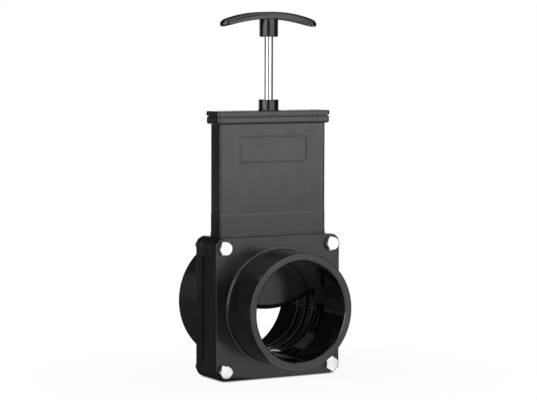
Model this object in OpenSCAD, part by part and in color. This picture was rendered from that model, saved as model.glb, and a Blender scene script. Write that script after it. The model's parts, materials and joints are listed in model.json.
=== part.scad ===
// Knife-gate waste valve: two hub flanges bolted either side of a flat valve body, whose blade is
// pulled up into the bonnet by a rod with a curved T-handle. Millimetres, +Z up, front towards -Y.
// The origin is on the floor, below the bore, in the plane of the blade. The blade stands half open.

/* [Sockets and hubs] */
// Inside diameter of the front socket
front_socket_d = 89.2; // [80:0.1:104]
// Inside diameter of the rear socket
rear_socket_d = 102; // [90:0.1:116]
// Step from the narrower socket in to the waterway
socket_step = 4.1; // [2:0.1:8]
// Wall of the front hub
front_hub_wall = 6.6; // [4:0.1:9]
// Wall of the rear hub
rear_hub_wall = 6; // [4:0.1:9]
// Reach of the front hub ahead of its flange
front_hub_len = 41.1; // [25:0.1:60]
// Reach of the rear hub behind its flange
rear_hub_len = 46; // [30:0.1:65]
// Depth of the socket floor behind the outer face of its flange
socket_sink = 2.4; // [1:0.1:4]
// Fillet between hub and flange
hub_fillet = 1.6; // [0.5:0.1:3]
// Rounding of the outer edge of the hub rims
rim_round = 0.8; // [0.3:0.1:1.5]
// Lead-in chamfer at the mouth of each socket
mouth_chamfer = 1.2; // [0.5:0.1:2]

/* [Flanges] */
// Thickness of each flange
flange_thick = 9.5; // [7:0.5:14]
// Radius of the flange corners
flange_corner = 8.5; // [6:0.5:12]
// Rounding of the outer edges of each flange
flange_edge = 0.6; // [0.3:0.1:2]

/* [Valve body] */
// Wall from each side of the blade slot to the flange edge, which the bolts go through
side_wall = 15; // [12:0.5:22]
// Depth of the waist cut into the left and right sides of the body
waist_depth = 2; // [1.6:0.1:8]
// Height of each corner ear above and below the waist
ear_height = 17; // [14:0.5:24]
// Radius at the ends of the waist
waist_fillet = 1.4; // [0.5:0.1:1.6]

/* [Bonnet] */
// Side walls of the bonnet
bonnet_side = 5.65; // [3:0.05:8]
// Front and back walls of the bonnet
bonnet_wall = 3.5; // [2:0.1:5]
// Width of the deep middle of the bonnet's cavity
relief_w = 45; // [20:1:70]
// Room above the blade when the valve is fully open
head_room = 4; // [1:0.5:20]
// Rounding of the upright edges of the bonnet
bonnet_edge = 2; // [1.2:0.1:2.5]
// Height of the raised band across the foot of the bonnet
band_h = 19; // [8:0.5:30]
// How far that band stands proud of the front and back of the bonnet
band_proud = 0.5; // [0.2:0.1:1]
// Height of the sloped top of the band and of its bead
band_slope = 1.4; // [0.4:0.1:3]
// Height of the bead along the foot of the band
bead_h = 2; // [1:0.1:5]
// How far that bead stands proud of the band
bead_proud = 0.6; // [0.2:0.1:1]
// Reach of the lip past the bonnet at the left and right
lip_reach = 3.2; // [1:0.05:6]
// Reach of the lip past the bonnet at the front and back
lip_proud = 2.65; // [0.5:0.05:4]
// Thickness of the lip
lip_thick = 6.4; // [3:0.1:9]
// Rounding of the lower edges of the lip
lip_round = 1.9; // [0.3:0.1:2]
// Rounding of the upper edges of the lip
lip_top_round = 0.9; // [0.3:0.1:2]
// Radius of the upright corners of lip and cap
lip_corner = 2.6; // [2:0.1:4]

/* [Cap] */
// Reach of the cap past the lip at the left and right
cap_reach = 0.4; // [0:0.1:3]
// Thickness of the cap plate
cap_thick = 4; // [3:0.1:8]
// Rounding of the upper edges of the cap plate
cap_round = 1; // [0.3:0.1:2]
// Height of the shadow groove between lip and cap
groove_h = 1; // [0.2:0.1:1.5]
// Depth of that groove
groove_depth = 1.2; // [0.3:0.1:2]
// Wall of the rod boss round the rod seal
boss_wall = 2.65; // [1.2:0.05:4]
// Height of the rod boss above the cap
boss_h = 9.84; // [6:0.02:16]
// Flare at the foot of the rod boss
boss_flare = 1.2; // [0.4:0.1:1.5]

/* [Gate blade] */
// Reach of the blade past the seals at each side
blade_cover = 1.5; // [0.5:0.1:4]
// Thickness of the blade
blade_thick = 6; // [4:0.1:9]
// Radius of the curved lower edge
blade_arc = 80; // [70:1:120]
// Height of the bevel along the lower edge
blade_bevel = 4; // [2:0.1:6]
// Thickness left at the lower edge
blade_land = 1.8; // [1:0.1:3]
// Length of blade above the flange top when the valve is closed
blade_tail = 14.5; // [10:0.5:24]
// How far the lowest point hangs below the bore centre as the valve is shown
blade_hang = 3.85; // [-30:0.05:30]
// How far the closed blade reaches past the outside of the seals
close_past = 0.35; // [0:0.05:3]
// How far the fully open blade stands clear of the waterway
open_past = 0.65; // [0:0.05:5]
// Wall of the rod socket at the top of the blade
blade_boss_wall = 1.52; // [1:0.02:4]
// Length of that rod socket
blade_boss_len = 14; // [10:0.5:18]
// Thickness of its floor below the rod
blade_boss_floor = 2.2; // [1:0.1:4]

/* [Rod and handle] */
// Diameter of the pull rod
rod_d = 7.9; // [6:0.1:10]
// Length of rod left between cap boss and handle when the valve is closed
closed_gap = 13.1; // [4:0.1:40]
// Depth of rod held in the handle
rod_grip = 15; // [10:0.5:18]
// Width of the handle
handle_w = 96.5; // [80:0.1:120]
// Depth of the handle at its middle, front to back
handle_depth = 18; // [14:0.1:24]
// How far each long side of the handle bows out between its ends
handle_bow = 1.5; // [0.5:0.1:3]
// Thickness of the handle at its middle
handle_thick = 6.5; // [5:0.1:9]
// Radius of the arched top of the handle
handle_top_r = 138; // [110:1:160]
// Radius of the arched underside of the handle
handle_under_r = 158; // [140:1:240]
// Wall round the hollow underside of the handle
handle_wall = 2.2; // [1.6:0.1:2.6]
// Wall of the rod socket below the handle
handle_socket_wall = 4.42; // [2:0.02:6]
// Height of the handle from the foot of its socket to its top
handle_h = 22.3; // [20:0.1:30]

/* [Fasteners] */
// Distance of each bolt from the two nearest flange edges
bolt_inset = 8.5; // [7:0.1:10]
// Diameter of the bolts
bolt_d = 6.35; // [5:0.05:8]
// Width across the flats of bolt heads and nuts
hex_flats = 12; // [9:0.1:13]
// Height of the bolt heads
head_h = 4.2; // [3:0.1:6]
// Turn of each bolt head from two flats upright
head_turn = 30; // [0:1:60]
// Height of the nuts
nut_h = 5.6; // [4:0.1:8]
// Turn of each nut from two flats upright
nut_turn = 30; // [0:1:60]
// Length of bolt past its nut
bolt_tail = 2; // [0.5:0.1:6]

/* [Seals] */
// Width of the blade seals, from the waterway out
seal_width = 5.5; // [3:0.1:8]
// Rounding of the inner edge of the seals, next to the blade
seal_round = 0.8; // [0.3:0.1:2]
// Thickness of the rod seal round the rod
rod_seal_wall = 2.27; // [1.2:0.01:4]
// Height of the rod seal
rod_seal_h = 3; // [2:0.1:5]

/* [Clearances] */
// Gap between each seal and its seat in the body
seal_gap = 0.2; // [0.1:0.05:0.4]
// Gap between the blade and each seal
blade_gap = 0.3; // [0.2:0.05:0.6]
// Gap between the blade and each side of its slot
slot_gap = 0.5; // [0.3:0.1:1]
// Gap between the blade's rod socket and the bonnet walls
boss_gap = 0.4; // [0.3:0.1:2]
// Gap below the blade when it is closed
floor_gap = 1; // [0.5:0.1:2]
// Radial running gap of the rod in the cap and the rod seal
rod_gap = 0.08; // [0.04:0.01:0.1]
// Radial gap of the rod in the sockets of blade and handle
grip_gap = 0.03; // [0.02:0.01:0.05]
// Radial gap of the bolts in their holes
bolt_gap = 0.35; // [0.2:0.05:0.6]
// Radial gap of the nuts on the bolt threads
nut_gap = 0.03; // [0.02:0.01:0.05]

/* [Hidden] */
$fn = 96;
// Facets of a full turn on the handle's long, shallow arcs
long_arc_fn = 900;
// Overrun of a cutting tool past the face that it opens
past = 1;

// Bores, from the sockets in to the waterway
waterway_d = min(front_socket_d, rear_socket_d) - 2 * socket_step;
front_hub_d = front_socket_d + 2 * front_hub_wall;
rear_hub_d = rear_socket_d + 2 * rear_hub_wall;

// Widths, from the waterway out to the flange edge
seal_d = waterway_d + 2 * seal_width;
blade_w = seal_d + 2 * blade_cover;
slot_w = blade_w + 2 * slot_gap;
bonnet_w = slot_w + 2 * bonnet_side;
lip_w = bonnet_w + 2 * lip_reach;
cap_w = lip_w + 2 * cap_reach;
hub_foot_d = max(front_hub_d, rear_hub_d) + 2 * (hub_fillet + flange_edge);
flange_side = max(slot_w + 2 * side_wall, hub_foot_d);
bolt_place = flange_side / 2 - bolt_inset;

// Sizes that follow the rod
rod_hole_d = rod_d + 2 * rod_gap;
grip_d = rod_d + 2 * grip_gap;
rod_seal_d = rod_hole_d + 2 * rod_seal_wall;
boss_d = rod_seal_d + 2 * boss_wall;
blade_boss_d = grip_d + 2 * blade_boss_wall;
handle_socket_d = grip_d + 2 * handle_socket_wall;

// Depths, front to back
slot_thick = blade_thick + 2 * blade_gap;
relief_thick = blade_boss_d + 2 * boss_gap;
body_thick = relief_thick + 2 * bonnet_wall;
lip_depth = body_thick + 2 * lip_proud;
seal_thick = (body_thick - slot_thick) / 2;

// Travel of the gate from the place shown
travel_down = seal_d / 2 + close_past - blade_hang;
travel_up = waterway_d / 2 + open_past + blade_hang;

// Heights of the blade and of the fixed pieces round it
bore_z = flange_side / 2;
blade_low_z = bore_z - blade_hang;
blade_top_z = flange_side + blade_tail + travel_down;
slot_floor_z = blade_low_z - travel_down - floor_gap;
relief_floor_z = blade_top_z - travel_down - blade_boss_len - floor_gap;
cap_z = blade_top_z + travel_up + head_room;
cap_plate_z = cap_z + groove_h;
cap_top_z = cap_plate_z + cap_thick;
boss_top_z = cap_top_z + boss_h;

// Heights of the rod and the handle
handle_foot_z = boss_top_z + travel_down + closed_gap;
handle_top_z = handle_foot_z + handle_h;
rod_foot_z = blade_top_z - blade_boss_len + blade_boss_floor;
rod_top_z = handle_foot_z + rod_grip;

// Handle outline
handle_reach = handle_w / 2;
end_r = handle_depth / 2 - handle_bow;
end_x = handle_reach - end_r;
side_r = (end_x * end_x + handle_bow * handle_bow) / (2 * handle_bow);

black_abs = [0.09, 0.09, 0.10];
black_rubber = [0.05, 0.05, 0.05];
blade_grey = [0.13, 0.13, 0.14];
bright_steel = [0.80, 0.81, 0.82];

// Flat shapes

module rounded_rectangle(w, h, r) {
    square([w - 2 * r, h], center = true);
    square([w, h - 2 * r], center = true);
    for (x = [-1, 1], y = [-1, 1])
        translate([x * (w / 2 - r), y * (h / 2 - r)]) circle(r);
}

// Half of a section whose upper outer corner is rounded, standing on the axis
module rounded_half_section(w, h, r) {
    square([w - r, h]);
    square([w, h - r]);
    translate([w - r, h - r])
        intersection() {
            circle(r);
            square(r);
        }
}

module rounded_section(w, h, r) {
    for (side = [0, 1])
        mirror([side, 0]) rounded_half_section(w / 2, h, r);
}

// The hollow corner of a fillet of radius r, in the first quadrant
module fillet_corner(r) {
    difference() {
        square(r);
        translate([r, r]) circle(r);
    }
}

// Pieces that repeat

// Plate w by d with round corners and a rounded upper edge
module rounded_plate(w, d, thick, corner, edge) {
    reach_x = w / 2 - corner;
    reach_y = d / 2 - corner;
    rotate([90, 0, 90])
        linear_extrude(2 * reach_x, center = true) rounded_section(d, thick, edge);
    rotate([90, 0, 0])
        linear_extrude(2 * reach_y, center = true) rounded_section(w, thick, edge);
    for (x = [-1, 1], y = [-1, 1])
        translate([x * reach_x, y * reach_y])
            rotate_extrude() rounded_half_section(corner, thick, edge);
}

module bolt_holes() {
    for (x = [-1, 1], y = [-1, 1])
        translate([x * bolt_place, y * bolt_place]) circle(d = bolt_d + 2 * bolt_gap);
}

// Flange with its hub pointing up, the mating face at z = 0
module hub_flange(hub_d, socket_d, hub_len) {
    rim_z = flange_thick + hub_len;
    difference() {
        union() {
            rounded_plate(flange_side, flange_side, flange_thick, flange_corner, flange_edge);
            rotate_extrude() {
                rounded_half_section(hub_d / 2, rim_z, rim_round);
                translate([hub_d / 2, flange_thick]) fillet_corner(hub_fillet);
            }
        }
        translate([0, 0, -past]) cylinder(d = waterway_d, h = rim_z + 2 * past);
        translate([0, 0, flange_thick - socket_sink])
            cylinder(d = socket_d, h = rim_z);
        translate([0, 0, rim_z - mouth_chamfer])
            cylinder(d1 = socket_d, d2 = socket_d + 4 * mouth_chamfer, h = 2 * mouth_chamfer);
        translate([0, 0, -past])
            linear_extrude(flange_thick + 2 * past) bolt_holes();
    }
}

// Ring between a flange and the blade, standing on the flange face at z = 0
module blade_seal() {
    color(black_rubber)
        rotate_extrude()
            translate([seal_d / 2, 0])
                mirror([1, 0]) rounded_half_section(seal_width, seal_thick, seal_round);
}

// Prism with six flats, turned from two of them upright
module hexagon(flats, h, turn) {
    rotate(30 + turn) cylinder(d = flats / cos(30), h = h, $fn = 6);
}

// Bolt along -Z from the underside of its head at z = 0
module hex_bolt() {
    length = 2 * flange_thick + body_thick + nut_h + bolt_tail;
    color(bright_steel) {
        hexagon(hex_flats, head_h, head_turn);
        translate([0, 0, -length]) cylinder(d = bolt_d, h = length);
    }
}

module hex_nut() {
    color(bright_steel)
        difference() {
            hexagon(hex_flats, nut_h, nut_turn);
            translate([0, 0, -past]) cylinder(d = bolt_d + 2 * nut_gap, h = nut_h + 2 * past);
        }
}

// Places

// Turns a piece that points up to point forwards, its foot y behind the blade plane
module facing_front(y) {
    translate([0, y, bore_z]) rotate([90, 0, 0]) children();
}

module facing_back(y) {
    translate([0, y, bore_z]) rotate([-90, 0, 0]) children();
}

// Moves a piece to the bolt at the given side (-1 left, 1 right) and level (-1 low, 1 high)
module at_bolt(side, level) {
    translate([side * bolt_place, 0, level * bolt_place]) children();
}

module bolt_at(side, level) {
    at_bolt(side, level) facing_front(-body_thick / 2 - flange_thick) hex_bolt();
}

module nut_at(side, level) {
    at_bolt(side, level) facing_back(body_thick / 2 + flange_thick) hex_nut();
}

// Sub-parts that stay still

module body_outline() {
    waist_h = flange_side - 2 * ear_height;
    difference() {
        rounded_rectangle(flange_side, flange_side, flange_corner);
        for (side = [-1, 1])
            translate([side * flange_side / 2, 0])
                rounded_rectangle(2 * waist_depth, waist_h, waist_fillet);
        circle(d = seal_d + 2 * seal_gap);
    }
}

module upright_block(w, depth, r, z_low, z_high) {
    translate([0, 0, z_low])
        linear_extrude(z_high - z_low) rounded_rectangle(w, depth, r);
}

// Block across the foot of the bonnet, proud of its front and back, with sloped tops
module bonnet_foot(proud, h) {
    near = body_thick / 2;
    far = near + proud;
    top = h + band_slope;
    intersection() {
        upright_block(bonnet_w, 2 * far, bonnet_edge, flange_side, flange_side + top);
        translate([0, 0, flange_side])
            rotate([90, 0, 90])
                linear_extrude(bonnet_w, center = true)
                    polygon([[-far, 0], [far, 0], [far, h], [near, top], [-near, top], [-far, h]]);
    }
}

// Lip round the top of the bonnet, about its middle height
module bonnet_lip() {
    half = lip_thick / 2;
    rounded_plate(lip_w, lip_depth, half, lip_corner, lip_top_round);
    mirror([0, 0, 1]) rounded_plate(lip_w, lip_depth, half, lip_corner, lip_round);
}

module valve_body() {
    color(black_abs)
        difference() {
            union() {
                facing_front(body_thick / 2) linear_extrude(body_thick) body_outline();
                upright_block(bonnet_w, body_thick, bonnet_edge, flange_side - flange_corner, cap_z);
                bonnet_foot(band_proud, band_h);
                bonnet_foot(band_proud + bead_proud, bead_h);
                translate([0, 0, cap_z - lip_thick / 2]) bonnet_lip();
            }
            facing_front(body_thick / 2 + past)
                linear_extrude(body_thick + 2 * past) bolt_holes();
            translate([-slot_w / 2, -slot_thick / 2, slot_floor_z])
                cube([slot_w, slot_thick, cap_z - slot_floor_z + past]);
            translate([-relief_w / 2, -relief_thick / 2, relief_floor_z])
                cube([relief_w, relief_thick, cap_z - relief_floor_z + past]);
        }
}

module bonnet_cap() {
    groove_w = cap_w - 2 * groove_depth;
    groove_d = lip_depth - 2 * groove_depth;
    color(black_abs)
        difference() {
            union() {
                upright_block(groove_w, groove_d, lip_corner, cap_z, cap_plate_z);
                translate([0, 0, cap_plate_z])
                    rounded_plate(cap_w, lip_depth, cap_thick, lip_corner, cap_round);
                translate([0, 0, cap_top_z])
                    rotate_extrude() {
                        rounded_half_section(boss_d / 2, boss_h, rim_round);
                        translate([boss_d / 2, 0]) fillet_corner(boss_flare);
                    }
            }
            translate([0, 0, cap_z - past])
                cylinder(d = rod_hole_d, h = boss_top_z - cap_z + 2 * past);
            translate([0, 0, boss_top_z - rod_seal_h])
                cylinder(d = rod_seal_d, h = rod_seal_h + past);
        }
}

module rod_seal() {
    color(black_rubber)
        translate([0, 0, boss_top_z - rod_seal_h])
            difference() {
                cylinder(d = rod_seal_d, h = rod_seal_h);
                translate([0, 0, -past]) cylinder(d = rod_hole_d, h = rod_seal_h + 2 * past);
            }
}

module front_hub_flange() {
    color(black_abs)
        facing_front(-body_thick / 2) hub_flange(front_hub_d, front_socket_d, front_hub_len);
}

module rear_hub_flange() {
    color(black_abs)
        facing_back(body_thick / 2) hub_flange(rear_hub_d, rear_socket_d, rear_hub_len);
}

module front_blade_seal() {
    facing_back(-body_thick / 2) blade_seal();
}

module rear_blade_seal() {
    facing_front(body_thick / 2) blade_seal();
}

// Sub-parts that slide together

// Half section of the round lower edge of the blade, bevelled to a thin land
module blade_edge_section() {
    body_half = blade_thick / 2;
    land_half = blade_land / 2;
    polygon([
        [0, -body_half], [blade_arc - blade_bevel, -body_half], [blade_arc, -land_half],
        [blade_arc, land_half], [blade_arc - blade_bevel, body_half], [0, body_half]
    ]);
}

module gate_blade() {
    half_w = blade_w / 2;
    inner_r = blade_arc - blade_bevel;
    edge_rise = blade_arc - sqrt(inner_r * inner_r - half_w * half_w);
    straight_z = blade_low_z + edge_rise + blade_bevel;
    color(blade_grey)
        difference() {
            union() {
                intersection() {
                    translate([0, 0, blade_low_z + blade_arc])
                        rotate([90, 0, 0]) rotate_extrude() blade_edge_section();
                    translate([-half_w, -blade_thick, blade_low_z - past])
                        cube([blade_w, 2 * blade_thick, straight_z - blade_low_z + 2 * past]);
                }
                translate([-half_w, -blade_thick / 2, straight_z])
                    cube([blade_w, blade_thick, blade_top_z - straight_z]);
                translate([0, 0, blade_top_z - blade_boss_len])
                    cylinder(d = blade_boss_d, h = blade_boss_len);
            }
            translate([0, 0, rod_foot_z]) cylinder(d = grip_d, h = blade_boss_len);
        }
}

module pull_rod() {
    color(bright_steel)
        translate([0, 0, rod_foot_z]) cylinder(d = rod_d, h = rod_top_z - rod_foot_z);
}

// Arched front view of the handle bar: its crown lowered by an inset, its underside by a drop
module handle_arch(inset, drop) {
    difference() {
        intersection() {
            translate([0, handle_top_z - handle_top_r]) circle(handle_top_r - inset, $fn = long_arc_fn);
            translate([-handle_w, handle_foot_z]) square([2 * handle_w, handle_h + past]);
        }
        translate([0, handle_top_z - handle_thick - drop - handle_under_r])
            circle(handle_under_r, $fn = long_arc_fn);
    }
}

// Plan of the handle bar: bowed sides and round ends, shrunk by an inset
module handle_plan(inset) {
    intersection() {
        square([2 * end_x, 2 * handle_depth], center = true);
        translate([0, side_r - handle_depth / 2]) circle(side_r - inset, $fn = long_arc_fn);
        translate([0, handle_depth / 2 - side_r]) circle(side_r - inset, $fn = long_arc_fn);
    }
    for (end = [-1, 1])
        translate([end * end_x, 0]) circle(end_r - inset);
}

module handle_bar(inset, drop) {
    intersection() {
        translate([0, handle_depth, 0])
            rotate([90, 0, 0]) linear_extrude(2 * handle_depth) handle_arch(inset, drop);
        translate([0, 0, handle_foot_z])
            linear_extrude(handle_h + past) handle_plan(inset);
    }
}

module pull_handle() {
    color(black_abs)
        difference() {
            union() {
                difference() {
                    handle_bar(0, 0);
                    handle_bar(handle_wall, past);
                }
                translate([0, 0, handle_foot_z])
                    cylinder(d = handle_socket_d, h = handle_h - handle_wall / 2);
            }
            translate([0, 0, handle_foot_z - past]) cylinder(d = grip_d, h = rod_grip + past);
        }
}

valve_body();
bonnet_cap();
rod_seal();
front_hub_flange();
rear_hub_flange();
front_blade_seal();
rear_blade_seal();
bolt_at(-1, 1);  // bolt_upper_left
bolt_at(1, 1);  // bolt_upper_right
bolt_at(-1, -1);  // bolt_lower_left
bolt_at(1, -1);  // bolt_lower_right
nut_at(-1, 1);  // nut_upper_left
nut_at(1, 1);  // nut_upper_right
nut_at(-1, -1);  // nut_lower_left
nut_at(1, -1);  // nut_lower_right
gate_blade();
pull_rod();
pull_handle();
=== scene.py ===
import json
import math

import bmesh
import bpy
from mathutils import Matrix, Vector


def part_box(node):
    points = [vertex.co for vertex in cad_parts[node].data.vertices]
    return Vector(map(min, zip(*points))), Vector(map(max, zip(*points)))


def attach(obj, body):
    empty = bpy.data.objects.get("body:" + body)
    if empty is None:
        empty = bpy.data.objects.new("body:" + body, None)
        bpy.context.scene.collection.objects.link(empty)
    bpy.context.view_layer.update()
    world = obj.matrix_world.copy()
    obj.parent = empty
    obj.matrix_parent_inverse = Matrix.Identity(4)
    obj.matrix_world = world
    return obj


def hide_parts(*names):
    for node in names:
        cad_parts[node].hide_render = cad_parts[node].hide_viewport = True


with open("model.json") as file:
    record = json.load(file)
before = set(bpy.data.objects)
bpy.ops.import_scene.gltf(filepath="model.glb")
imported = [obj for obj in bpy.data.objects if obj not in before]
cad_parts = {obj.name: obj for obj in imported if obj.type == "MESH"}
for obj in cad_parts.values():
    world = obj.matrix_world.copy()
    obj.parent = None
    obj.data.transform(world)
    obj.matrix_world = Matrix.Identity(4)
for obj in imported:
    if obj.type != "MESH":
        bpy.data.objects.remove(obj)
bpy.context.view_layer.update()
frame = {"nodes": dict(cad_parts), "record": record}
nodes = frame["nodes"]
scene = bpy.context.scene
scene.view_settings.view_transform = "Standard"

MM = 0.001
BODY = "valve"
GATE = "gate"


# Camera, at the photograph's place

EYE = (-0.9167, -1.6200, 0.2981)
AIM = (0.00018, -0.0001, 0.15700)
ROLL = 0.14
LENS = 139.95
SENSOR = 36

camera_data = bpy.data.cameras.new("camera")
camera_data.lens = LENS
camera_data.sensor_width = SENSOR
camera_data.sensor_fit = "HORIZONTAL"
camera = bpy.data.objects.new("camera", camera_data)
scene.collection.objects.link(camera)
sight = Vector(AIM) - Vector(EYE)
turn = sight.to_track_quat("-Z", "Y").to_matrix().to_4x4()
camera.matrix_world = (Matrix.Translation(EYE) @ turn
                       @ Matrix.Rotation(math.radians(ROLL), 4, "Z"))
scene.camera = camera


# Material helpers

class Shader:
    """The node tree of a material or a world, with nodes made by name and joined by their sockets."""

    # A colour Mix node's sockets: the factor, the two colours, and the result
    MIX_INPUTS = (0, 6, 7)
    MIX_RESULT = 2

    def __init__(self, owner, output="OutputMaterial"):
        owner.use_nodes = True
        self.owner = owner
        self.tree = owner.node_tree
        self.tree.nodes.clear()
        self.output = self.add(output)

    def add(self, kind, settings=None, **inputs):
        """A node whose inputs are given by name, with an underscore for a space."""
        made = self.tree.nodes.new("ShaderNode" + kind)
        for key, value in (settings or {}).items():
            setattr(made, key, value)
        for key, value in inputs.items():
            self.put(made.inputs[key.replace("_", " ")], value)
        return made

    def put(self, socket, value):
        if isinstance(value, bpy.types.NodeSocket):
            self.tree.links.new(value, socket)
        else:
            socket.default_value = value

    def fill(self, node, *values):
        """Gives a node's first inputs their values, in order."""
        for socket, value in zip(node.inputs, values):
            self.put(socket, value)
        return node

    def noise(self, coords, scale, detail, stretch=None):
        if stretch:
            coords = self.add("Mapping", Vector=coords, Scale=stretch).outputs[0]
        return self.add("TexNoise", Vector=coords, Scale=scale, Detail=detail).outputs[0]

    def spread(self, value, low, high, start=0.35, end=0.65):
        """A value's range from start to end, mapped to the range from low to high."""
        return self.add("MapRange", Value=value, From_Min=start, From_Max=end,
                        To_Min=low, To_Max=high).outputs[0]

    def blend(self, factor, first, second):
        """A mix of two colours."""
        made = self.add("Mix", {"data_type": "RGBA"})
        for spot, value in zip(self.MIX_INPUTS, (factor, first, second)):
            self.put(made.inputs[spot], value)
        return made.outputs[self.MIX_RESULT]

    def either(self, factor, first, second):
        """A mix of two shaders."""
        return self.fill(self.add("MixShader"), factor, first.outputs[0], second.outputs[0])

    def calc(self, operation, *values):
        return self.fill(self.add("Math", {"operation": operation}), *values).outputs[0]

    def vector(self, operation, *values):
        made = self.fill(self.add("VectorMath", {"operation": operation}), *values)
        return made.outputs["Value" if operation in ("LENGTH", "DOT_PRODUCT") else "Vector"]

    def surface(self, shader):
        self.tree.links.new(shader.outputs[0], self.output.inputs["Surface"])
        return self.owner


def new_shader(name):
    return Shader(bpy.data.materials.new(name))


def grey(level, warm=0.0):
    return (level * (1 + warm), level, level * (1 - warm), 1)


# Finishes

COOL = -0.02
RIM_SKIN = 0.5 * MM
# The grey of the rim's painted sheen: the rim is painted paler for the light glancing off it
RIM_SHEEN_LEVEL = 0.026
BORE_SKIN = 0.3 * MM
BORE_POLISH = 0.25
# The greys of the painted shade in the bore: the bore is painted darker for the shade inside it
BORE_SHADE_DARK = 0.0015
BORE_SHADE_LIGHT = 0.003
BLOOM_GAIN = 1.9


def worn_edges(shader, coords, radius, patch_scale):
    """How much of an edge is rubbed, from 0 to 1, broken up by a coarse noise, and the rounded
    normal."""
    rounded = shader.add("Bevel", {"samples": 4}, Radius=radius).outputs[0]
    plain = shader.add("NewGeometry").outputs["Normal"]
    edge = shader.spread(shader.vector("DOT_PRODUCT", rounded, plain),
                         low=1.0, high=0.0, start=0.80, end=0.99)
    patches = shader.spread(shader.noise(coords, scale=patch_scale, detail=4.0),
                            low=0.15, high=1.0, start=0.35, end=0.70)
    return shader.calc("MULTIPLY", edge, patches), rounded


def moulded_plastic(name, dark, light, rub, rough, specular, grain_depth, wave_depth, hub=None):
    """Black plastic with rubbed edges.

    A hub, given by its rim's y and its socket's axis height and radius, has a rim painted paler as a
    painted sheen, and a smoother bore painted darker as a painted shade."""
    shader = new_shader(name)
    coords = shader.add("TexCoord").outputs["Object"]
    clouds = shader.spread(shader.noise(coords, scale=45.0, detail=5.0), low=0.0, high=1.0)
    flow = shader.noise(coords, scale=90.0, detail=4.0, stretch=(1.0, 1.0, 0.5))
    grain = shader.noise(coords, scale=2300.0, detail=2.0)
    waves = shader.noise(coords, scale=30.0, detail=1.0)
    worn, rounded = worn_edges(shader, coords, radius=0.45 * MM, patch_scale=240.0)
    skin = shader.blend(clouds, grey(dark, COOL), grey(light, COOL))
    colour = shader.blend(worn, skin, grey(rub))
    roughness = shader.calc("ADD", shader.spread(flow, *rough),
                            shader.spread(grain, low=-0.02, high=0.02))
    if hub:
        rim_y, axis_z, socket_r = hub
        off_axis = shader.vector("SUBTRACT", coords, (0, 0, axis_z))
        across = shader.vector("MULTIPLY", off_axis, (1, 0, 1))
        bore = shader.calc("LESS_THAN", shader.vector("LENGTH", across), socket_r + BORE_SKIN)
        polish = shader.spread(bore, low=1.0, high=BORE_POLISH, start=0.0, end=1.0)
        roughness = shader.calc("MULTIPLY", roughness, polish)
        along = shader.vector("DOT_PRODUCT", coords, (0, math.copysign(1, rim_y), 0))
        rim = shader.calc("GREATER_THAN", along, abs(rim_y) - RIM_SKIN)
        # Painted sheen: the rim is painted paler, as light glancing off it
        painted_rim_sheen = shader.calc("MULTIPLY", rim, shader.spread(flow, low=0.5, high=0.9))
        colour = shader.blend(painted_rim_sheen, colour, grey(RIM_SHEEN_LEVEL))
        # Painted shade: the bore's colour is darkened to the shade inside it
        colour = shader.blend(bore, colour, shader.blend(clouds, grey(BORE_SHADE_DARK), grey(BORE_SHADE_LIGHT)))
    wavy = shader.add("Bump", Strength=0.5, Distance=wave_depth, Height=waves, Normal=rounded)
    bump = shader.add("Bump", Strength=0.35, Distance=grain_depth, Height=grain,
                      Normal=wavy.outputs[0])
    return shader.surface(shader.add(
        "BsdfPrincipled", Base_Color=colour, Roughness=roughness, Normal=bump.outputs[0],
        Specular_IOR_Level=specular))


def soft_rubber(name, level):
    """Black rubber with a pale bloom, smooth from its grease."""
    shader = new_shader(name)
    coords = shader.add("TexCoord").outputs["Object"]
    bloom = shader.spread(shader.noise(coords, scale=90.0, detail=4.0), low=0.0, high=1.0)
    grain = shader.noise(coords, scale=3000.0, detail=2.0)
    bump = shader.add("Bump", Strength=0.4, Distance=0.03 * MM, Height=grain)
    return shader.surface(shader.add(
        "BsdfPrincipled", Base_Color=shader.blend(bloom, grey(level), grey(level * BLOOM_GAIN)),
        Roughness=shader.spread(grain, low=0.10, high=0.18), Normal=bump.outputs[0],
        Specular_IOR_Level=0.5))


def bright_metal(name, tint, dull, rough, stretch, scale, depth):
    """Metal with fine lines along its stretch, and duller stains."""
    shader = new_shader(name)
    coords = shader.add("TexCoord").outputs["Object"]
    lines = shader.noise(coords, scale=scale, detail=3.0, stretch=stretch)
    stain = shader.spread(shader.noise(coords, scale=120.0, detail=4.0), low=0.0, high=1.0)
    bump = shader.add("Bump", Strength=0.25, Distance=depth, Height=lines)
    return shader.surface(shader.add(
        "BsdfPrincipled", Base_Color=shader.blend(stain, tint, dull), Metallic=1.0,
        Roughness=shader.spread(lines, *rough), Normal=bump.outputs[0]))


ABS = dict(dark=0.006, light=0.012, rub=0.045, rough=(0.17, 0.25), specular=0.57,
           grain_depth=0.012 * MM, wave_depth=0.25 * MM)
FINISH = {
    "black_abs": moulded_plastic("black_abs_finish", **ABS),
    "blade_plastic": moulded_plastic(
        "blade_finish", dark=0.008, light=0.012, rub=0.035, rough=(0.16, 0.22), specular=0.50,
        grain_depth=0.012 * MM, wave_depth=0.10 * MM),
    "black_rubber": soft_rubber("rubber_finish", level=0.010),
    "polished_steel": bright_metal(
        "rod_finish", tint=(0.86, 0.86, 0.85, 1), dull=(0.74, 0.74, 0.73, 1), rough=(0.05, 0.10),
        stretch=(1.0, 1.0, 0.02), scale=2600.0, depth=0.003 * MM),
    "zinc_steel": bright_metal(
        "zinc_finish", tint=(0.94, 0.95, 0.96, 1), dull=(0.82, 0.83, 0.85, 1), rough=(0.18, 0.30),
        stretch=(1.0, 1.0, 1.0), scale=900.0, depth=0.02 * MM),
}
for row in frame["record"]["subparts"]:
    mesh = nodes[row["node"]].data
    mesh.materials.clear()
    mesh.materials.append(FINISH[row["material_slot"]])
mounts = {mount["name"]: mount for mount in frame["record"]["mounts"]}
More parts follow.
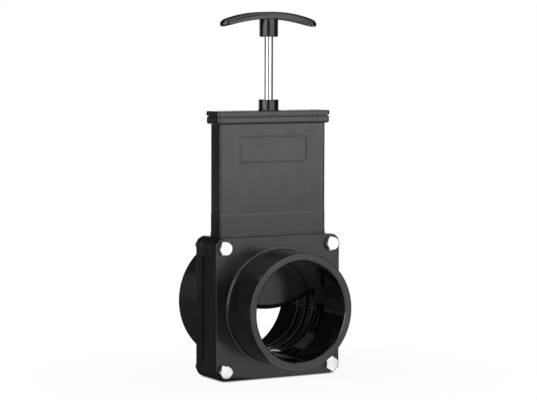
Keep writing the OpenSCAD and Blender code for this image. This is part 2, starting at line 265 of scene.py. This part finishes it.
for end, side in enumerate(("front", "rear")):
    node = side + "_hub_flange"
    socket = mounts[side + "_socket"]
    hub = (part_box(node)[end][1], socket["pos_m"][2], socket["dims"]["r_mm"] * MM)
    nodes[node].data.materials[0] = moulded_plastic(node + "_finish", hub=hub, **ABS)


# Mesh helpers: sizes in millimetres, the two welding distances in metres, sharp angles in degrees

WELD = 1e-7
SLIVER = 1e-8
SHARP = 32.0
TINY = 0.01


def piece(name, rings, slot, body, stands_for=(), sharp=SHARP, looped=False):
    """A mesh from closed rings of points: each ring is joined to the next, and the ends are closed."""
    made = bmesh.new()
    rows = [[made.verts.new(Vector(p) * MM) for p in ring] for ring in rings]
    pairs = list(zip(rows, rows[1:]))
    if looped:
        pairs.append((rows[-1], rows[0]))
    for low, high in pairs:
        for i in range(len(low)):
            j = (i + 1) % len(low)
            made.faces.new((low[i], low[j], high[j], high[i]))
    if not looped:
        made.faces.new(list(reversed(rows[0])))
        made.faces.new(rows[-1])
    bmesh.ops.remove_doubles(made, verts=made.verts, dist=WELD)
    bmesh.ops.dissolve_degenerate(made, edges=made.edges, dist=SLIVER)
    bmesh.ops.recalc_face_normals(made, faces=made.faces)
    mesh = bpy.data.meshes.new(name)
    made.to_mesh(mesh)
    made.free()
    mesh.shade_smooth()
    mesh.set_sharp_from_angle(angle=math.radians(sharp))
    obj = bpy.data.objects.new(name, mesh)
    scene.collection.objects.link(obj)
    mesh.materials.append(FINISH[slot])
    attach(obj, body)
    if stands_for:
        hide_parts(*stands_for)


def ring_points(count, radius, height, place):
    """A ring whose radius and height are numbers, or functions of the angle."""
    points = []
    for i in range(count):
        a = 2 * math.pi * i / count
        r = radius(a) if callable(radius) else radius
        h = height(a) if callable(height) else height
        points.append(place(r * math.cos(a), r * math.sin(a), h))
    return points


def quarter(radius, steps):
    """Points of a quarter round, as (in from the side, up from its foot) pairs."""
    return [(radius * (1 - math.cos(t)), radius * math.sin(t))
            for t in (0.5 * math.pi * i / steps for i in range(steps + 1))]


def extents(node):
    low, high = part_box(node)
    return [c / MM for c in low], [c / MM for c in high]


# Bolts and nuts

HEX_SEGMENTS = 72
HEX_SHARP = 25.0
HEX_FLATS = 12.0
HEX_SIDE = math.pi / 3
HEX_TURN = HEX_SIDE / 2
HEAD_TURNS = {"bolt_lower_right": 0.0}
HEAD_H = 4.2
HEAD_MIDDLE_R = 0.25 * HEX_FLATS
CHAMFER_R = 0.45 * HEX_FLATS
CHAMFER_SLOPE = 0.55
FLATS_FOOT = 0.45
WASHER_R = 0.48 * HEX_FLATS
WASHER_H = 0.4
BOLT_D = 6.35
THREAD_LENGTH = 9.0
THREAD_PITCH = 1.27
THREAD_DEPTH = 0.55
RINGS_PER_TURN = 6
TIP_LENGTH = 0.8
TIP_CUT = 0.5
TIP_INSET = 0.9
NUT_GAP = 0.06
NUT_LEAD_IN = 0.4
NUT_LEAD_H = 0.5


def hex_radius(turn):
    def at(angle):
        off = (angle - turn + HEX_SIDE / 2) % HEX_SIDE - HEX_SIDE / 2
        return 0.5 * HEX_FLATS / math.cos(off)
    return at


def chamfer_height(top, slope, turn):
    """Height of a cone that cuts the corners of a hexagon, at the hexagon's outline."""
    outline = hex_radius(turn)
    return lambda angle: top + slope * (outline(angle) - CHAMFER_R)


def hex_piece(name, profile, place, node, looped=False):
    """A bolt or nut from (radius, height) pairs, in place of its node."""
    rings = [ring_points(HEX_SEGMENTS, r, h, place) for r, h in profile]
    piece(name, rings, "zinc_steel", BODY, (node,), HEX_SHARP, looped)


def hex_bolt(node):
    low, high = extents(node)
    turn = HEAD_TURNS.get(node, HEX_TURN)
    cx, cz = (low[0] + high[0]) / 2, (low[2] + high[2]) / 2
    length = high[1] - low[1] - HEAD_H
    seat = low[1] + HEAD_H
    outline = hex_radius(turn)
    shank = BOLT_D / 2
    steps = int(THREAD_LENGTH / THREAD_PITCH * RINGS_PER_TURN)

    def place(x, y, h):
        return (cx + x, seat - h, cz + y)

    def thread(i):
        """Ring i of the thread, which runs in over its first turn and narrows at the bolt's tip."""
        h = THREAD_LENGTH - length - i * THREAD_LENGTH / steps
        lead = min(1.0, i / RINGS_PER_TURN)
        tip = max(0.0, 1 - (h + length) / TIP_LENGTH) * TIP_CUT

        def radius(angle):
            phase = (h / THREAD_PITCH + angle / (2 * math.pi)) % 1.0
            return shank - lead * THREAD_DEPTH * abs(2 * phase - 1) - tip
        return radius, h

    profile = [
        (TINY, HEAD_H), (HEAD_MIDDLE_R, HEAD_H), (CHAMFER_R, HEAD_H),
        (outline, chamfer_height(HEAD_H, -CHAMFER_SLOPE, turn)), (outline, FLATS_FOOT),
        (WASHER_R, WASHER_H), (WASHER_R, 0), (shank, 0), (shank, THREAD_LENGTH - length),
    ]
    profile += [thread(i) for i in range(1, steps)]
    profile += [(shank - TIP_INSET, -length), (TINY, -length)]
    hex_piece(node + "_threaded", profile, place, node)


def hex_nut(node):
    low, high = extents(node)
    cx, cz = (low[0] + high[0]) / 2, (low[2] + high[2]) / 2
    height = high[1] - low[1]
    outline = hex_radius(HEX_TURN)
    hole = (BOLT_D + NUT_GAP) / 2

    def place(x, y, h):
        return (cx - x, low[1] + h, cz + y)

    profile = [
        (hole, NUT_LEAD_H), (hole + NUT_LEAD_IN, 0), (CHAMFER_R, 0),
        (outline, chamfer_height(0, CHAMFER_SLOPE, HEX_TURN)),
        (outline, chamfer_height(height, -CHAMFER_SLOPE, HEX_TURN)),
        (CHAMFER_R, height), (hole + NUT_LEAD_IN, height), (hole, height - NUT_LEAD_H),
    ]
    hex_piece(node + "_chamfered", profile, place, node, looped=True)


for level in ("upper", "lower"):
    for side in ("left", "right"):
        hex_bolt("bolt_%s_%s" % (level, side))
        hex_nut("nut_%s_%s" % (level, side))


# Pull rod

ROD_SEGMENTS = 96
ROD_CHAMFER = 0.5


def turned(name, profile, slot, body, stands_for):
    """A piece turned about the Z axis from (radius, height) points."""
    rings = [ring_points(ROD_SEGMENTS, max(r, TINY), h, lambda x, y, z: (x, y, z)) for r, h in profile]
    piece(name, rings, slot, body, stands_for)


rod_low, rod_high = extents("pull_rod")
rod_r = (rod_high[0] - rod_low[0]) / 2
rod_foot, rod_head = rod_low[2], rod_high[2]
turned("pull_rod_polished", [
    (0, rod_foot), (rod_r - ROD_CHAMFER, rod_foot), (rod_r, rod_foot + ROD_CHAMFER),
    (rod_r, rod_head - ROD_CHAMFER), (rod_r - ROD_CHAMFER, rod_head), (0, rod_head),
], "polished_steel", GATE, ("pull_rod",))


# Pull handle: an arched bar, hollow below, on a round rod socket

HANDLE_TOP_R = 138.0
HANDLE_UNDER_R = 158.0
HANDLE_THICK = 6.5
HANDLE_BOW = 1.5
HANDLE_WALL = 2.2
HANDLE_H = 22.3
HANDLE_SHARP = 40.0
SIDE_STEPS = 28
END_STEPS = 20
NOSE_START = 10.0
NOSE_END = 2.0
handle_reach, handle_half, handle_top = extents("pull_handle")[1]
end_r = handle_half - HANDLE_BOW
end_x = handle_reach - end_r
side_r = (end_x ** 2 + HANDLE_BOW ** 2) / (2 * HANDLE_BOW)


def nose(x):
    """How far a place is into a tip: 0 along the bar, rising to 1 near its end."""
    into = (abs(x) - handle_reach + NOSE_START) / (NOSE_START - NOSE_END)
    into = min(1.0, max(0.0, into))
    return into * into * (3 - 2 * into)


def crown(x):
    return handle_top - HANDLE_TOP_R + math.sqrt(HANDLE_TOP_R ** 2 - x * x)


def under(x):
    return handle_top - HANDLE_THICK - HANDLE_UNDER_R + math.sqrt(HANDLE_UNDER_R ** 2 - x * x)


def handle_outline():
    """The bar's plan as (x, y, outward x, outward y) points, anticlockwise from the right end."""
    quadrant = []
    start = math.atan2(end_x, side_r - HANDLE_BOW)
    for i in range(END_STEPS):
        a = 0.5 * math.pi * i / END_STEPS
        quadrant.append((end_x + end_r * math.cos(a), end_r * math.sin(a),
                         math.cos(a), math.sin(a)))
    for i in range(SIDE_STEPS):
        a = start * (1 - i / SIDE_STEPS)
        quadrant.append((side_r * math.sin(a), handle_half - side_r + side_r * math.cos(a),
                         math.sin(a), math.cos(a)))
    crest = (0.0, handle_half, 0.0, 1.0)
    upper = quadrant + [crest] + [(-x, y, -u, v) for x, y, u, v in reversed(quadrant)]
    return upper + [(-x, -y, -u, -v) for x, y, u, v in upper[1:-1]]


OUTLINE = handle_outline()


def bar_ring(inset, curve, lift, share=0.0):
    """The plan shrunk by an inset and lifted off a curve, then drawn in to its middle line by a share.

    Inset and lift each have one value along the bar and one at its tips."""
    points = []
    for x, y, u, v in OUTLINE:
        inwards = inset[0] + (inset[1] - inset[0]) * nose(x)
        up = lift[0] + (lift[1] - lift[0]) * nose(x)
        px, py = x - inwards * u, y - inwards * v
        middle = max(-end_x, min(end_x, px))
        px += (middle - px) * share
        points.append((px, py * (1 - share), curve(px) + up))
    return points


def scaled(pair, factor):
    return (pair[0] * factor, pair[1] * factor)


def moved(pair, step):
    return (pair[0] + step, pair[1] + step)


LEVEL = (0.0, 0.0)
TOP_ROUND = (2.0, 2.8)
FOOT_ROUND = (0.7, 2.2)
INNER_ROUND = 0.7
WALL_AT = (HANDLE_WALL, 3.4)
CEILING = (-HANDLE_WALL, -HANDLE_WALL)
CEILING_ROUND = 0.8
CROWN_SHARES = (1.0, 0.8, 0.6, 0.4, 0.2)
CEILING_SHARES = (0.25, 0.5, 0.75, 1.0)
rings = [bar_ring(TOP_ROUND, crown, LEVEL, share) for share in CROWN_SHARES]
for inset, rise in reversed(quarter(1.0, steps=6)):
    rings.append(bar_ring(scaled(TOP_ROUND, inset), crown, scaled(TOP_ROUND, rise - 1)))
for inset, rise in quarter(1.0, steps=5):
    rings.append(bar_ring(scaled(FOOT_ROUND, inset), under, scaled(FOOT_ROUND, 1 - rise)))
for inset, rise in reversed(quarter(INNER_ROUND, steps=4)):
    rings.append(bar_ring(moved(WALL_AT, -inset), under, moved(LEVEL, INNER_ROUND - rise)))
for inset, rise in quarter(CEILING_ROUND, steps=4):
    rings.append(bar_ring(moved(WALL_AT, inset), crown, moved(CEILING, rise - CEILING_ROUND)))
rings += [bar_ring(moved(WALL_AT, CEILING_ROUND), crown, CEILING, share) for share in CEILING_SHARES]
piece("pull_handle_bar", rings, "black_abs", GATE, ("pull_handle",), HANDLE_SHARP)

SOCKET_R = 8.4
SOCKET_GAP = 0.05
SOCKET_ROOF = 2.0
SOCKET_EDGE = 0.6
socket_foot = handle_top - HANDLE_H
socket_head = handle_top - HANDLE_WALL / 2
hole_r = rod_r + SOCKET_GAP
profile = [(0, socket_head - SOCKET_ROOF), (hole_r, socket_head - SOCKET_ROOF), (hole_r, socket_foot)]
profile += [(SOCKET_R - inset, socket_foot + SOCKET_EDGE - rise)
            for inset, rise in reversed(quarter(SOCKET_EDGE, steps=5))]
profile += [(SOCKET_R, socket_head), (0, socket_head)]
turned("pull_handle_socket", profile, "black_abs", GATE, ("pull_handle",))


# Plain raised frame on the front of the bonnet

FRAME_HALF_W = 33.5
FRAME_HALF_H = 11.25
FRAME_Z = 203.25
FRAME_CORNER = 2.0
CORNER_STEPS = 8
RIDGE_HALF = 0.7
RIDGE_H = 0.45
RIDGE_ROUND = 0.3
RIDGE_ROOT = -0.1


def frame_loop(outwards, proud):
    """A rounded rectangle on the bonnet's face, pushed outwards and stood proud."""
    face = extents("front_hub_flange")[1][1]
    corner = FRAME_CORNER + outwards
    points = []
    for i, (sx, sz) in enumerate(((1, 1), (-1, 1), (-1, -1), (1, -1))):
        for j in range(CORNER_STEPS + 1):
            a = 0.5 * math.pi * (i + j / CORNER_STEPS)
            points.append((sx * (FRAME_HALF_W - FRAME_CORNER) + corner * math.cos(a), face - proud,
                           FRAME_Z + sz * (FRAME_HALF_H - FRAME_CORNER) + corner * math.sin(a)))
    return points


ridge = [(RIDGE_HALF, RIDGE_ROOT)]
ridge += [(RIDGE_HALF - inset, RIDGE_H - RIDGE_ROUND + rise)
          for inset, rise in quarter(RIDGE_ROUND, steps=4)]
ridge += [(-side, proud) for side, proud in reversed(ridge)]
piece("bonnet_blank_frame", [frame_loop(*spot) for spot in ridge], "black_abs", BODY, looped=True)


# Floor and world, in metres

FLOOR_REACH = 30.0
FLOOR_Z = -0.0004
FLOOR_GREY = 0.85
FLANGE_CORNER = 8.5 * MM
WHITE = (1, 1, 1, 1)
FILL_STRENGTH = 0.22


def seen_directly(shader):
    """1 for rays that show the background itself: from the camera, or through gloss or glass."""
    path = shader.add("LightPath")
    most = shader.calc("MAXIMUM", path.outputs["Is Camera Ray"], path.outputs["Is Glossy Ray"])
    return shader.calc("MAXIMUM", most, path.outputs["Is Transmission Ray"])


floor_mesh = bpy.data.meshes.new("floor")
floor_mesh.from_pydata([(x * FLOOR_REACH, y * FLOOR_REACH, 0) for x, y in
                        ((-1, -1), (1, -1), (1, 1), (-1, 1))], [], [(0, 1, 2, 3)])
floor = bpy.data.objects.new("floor", floor_mesh)
floor.location.z = FLOOR_Z
scene.collection.objects.link(floor)
shader = new_shader("floor_white")
coords = shader.add("TexCoord").outputs["Object"]
foot = (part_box("front_hub_flange")[1][0] - FLANGE_CORNER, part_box("nut_lower_left")[0][1], 0)
from_foot = shader.vector("SUBTRACT", shader.vector("ABSOLUTE", coords), foot)
reach = shader.vector("LENGTH", shader.vector("MAXIMUM", from_foot, (0, 0, 0)))
contact = shader.spread(reach, low=0.1, high=1.0, start=0.0, end=0.005)
further = shader.spread(reach, low=0.94, high=1.0, start=0.01, end=0.18)
away = shader.calc("MULTIPLY", contact, further)
share = shader.calc("MULTIPLY", away, seen_directly(shader))
shadowed = shader.add("BsdfDiffuse", Color=grey(FLOOR_GREY))
white = shader.add("Emission", Color=WHITE, Strength=1.0)
floor_mesh.materials.append(shader.surface(shader.either(share, shadowed, white)))

scene.world = bpy.data.worlds.new("studio")
sky = Shader(scene.world, "OutputWorld")
fill_light = sky.add("Background", Color=WHITE, Strength=FILL_STRENGTH)
backdrop = sky.add("Background", Color=WHITE, Strength=1.0)
sky.surface(sky.either(seen_directly(sky), fill_light, backdrop))


# Lamps and black cards, in metres and degrees

LAMP_DISTANCE = 1.5
LAMP_LOW = 0.03
LAMP_HIGH = 1.50


def around(azimuth, distance, height):
    """A point round the valve: azimuth 0 is in front of it, and grows to the right."""
    a = math.radians(azimuth)
    return Vector((distance * math.sin(a), -distance * math.cos(a), height))


def softbox(name, azimuth, width, radiance):
    """An upright lamp panel that faces the valve."""
    data = bpy.data.lights.new(name, "AREA")
    data.shape = "RECTANGLE"
    data.size = width
    data.size_y = LAMP_HIGH - LAMP_LOW
    data.energy = radiance * math.pi * width * (LAMP_HIGH - LAMP_LOW)
    lamp = bpy.data.objects.new(name, data)
    spot = around(azimuth, LAMP_DISTANCE, (LAMP_LOW + LAMP_HIGH) / 2)
    inwards = Vector((-spot.x, -spot.y, 0))
    lamp.matrix_world = (Matrix.Translation(spot)
                         @ inwards.to_track_quat("-Z", "Y").to_matrix().to_4x4())
    lamp.visible_camera = False
    scene.collection.objects.link(lamp)


softbox("softbox_right", azimuth=12.0, width=1.60, radiance=1.45)
softbox("softbox_left", azimuth=-75.0, width=1.40, radiance=2.4)

CARD_STEPS = 24
CARD_Z = 0.0005
WALL = 1.7
WALL_TOP = 2.2
DEEP = 0.04
BLACK = 0.09
SOFT = 0.14
PALE = 0.26


def black_card(name, first, last, near, far, level):
    """A strip of black cloth round part of the valve, between two (distance, height) places.

    Only gloss can see it."""
    points = []
    for i in range(CARD_STEPS + 1):
        a = first + (last - first) * i / CARD_STEPS
        points += [around(a, *near), around(a, *far)]
    mesh = bpy.data.meshes.new(name)
    mesh.from_pydata(points, [], [(j, j + 1, j + 3, j + 2) for j in range(0, 2 * CARD_STEPS, 2)])
    card = bpy.data.objects.new(name, mesh)
    scene.collection.objects.link(card)
    card.visible_camera = False
    card.visible_diffuse = False
    card.visible_transmission = False
    card.visible_shadow = False
    black = new_shader(name)
    mesh.materials.append(black.surface(black.add("BsdfDiffuse", Color=grey(level))))


# Each row has a card's first and last azimuth, its near and far edge, and its grey
CARDS = {
    "camera_floor": (-49.5, -17.5, (0.6, CARD_Z), (WALL, CARD_Z), BLACK),
    "camera_wall": (-49.5, -17.5, (WALL, 0.0), (WALL, WALL_TOP), BLACK),
    "lamp_floor": (-101.0, -49.5, (0.0, CARD_Z), (0.6, CARD_Z), BLACK),
    "left_floor": (-158.0, -101.0, (0.0, CARD_Z), (WALL, CARD_Z), SOFT),
    "left_foot": (-158.0, -101.0, (WALL, 0.0), (WALL, 0.09), PALE),
    "left_wall": (-158.0, -101.0, (WALL, 0.09), (WALL, WALL_TOP), DEEP),
    "front_flag": (9.0, 28.0, (1.3, 0.40), (1.3, 0.80), BLACK),
    "right_near": (65.0, 125.0, (0.066, CARD_Z), (0.1, CARD_Z), BLACK),
    "right_floor": (52.0, 125.0, (0.1, CARD_Z), (WALL, CARD_Z), BLACK),
    "right_wall": (40.0, 125.0, (WALL, 0.0), (WALL, WALL_TOP), BLACK),
    "back_near": (125.0, 202.0, (0.07, CARD_Z), (0.4, CARD_Z), BLACK),
    "back_floor": (184.0, 202.0, (0.4, CARD_Z), (WALL, CARD_Z), BLACK),
    "back_wall": (125.0, 202.0, (WALL, 0.45), (WALL, WALL_TOP), DEEP),
}
for name, card in CARDS.items():
    black_card("card_" + name, *card)
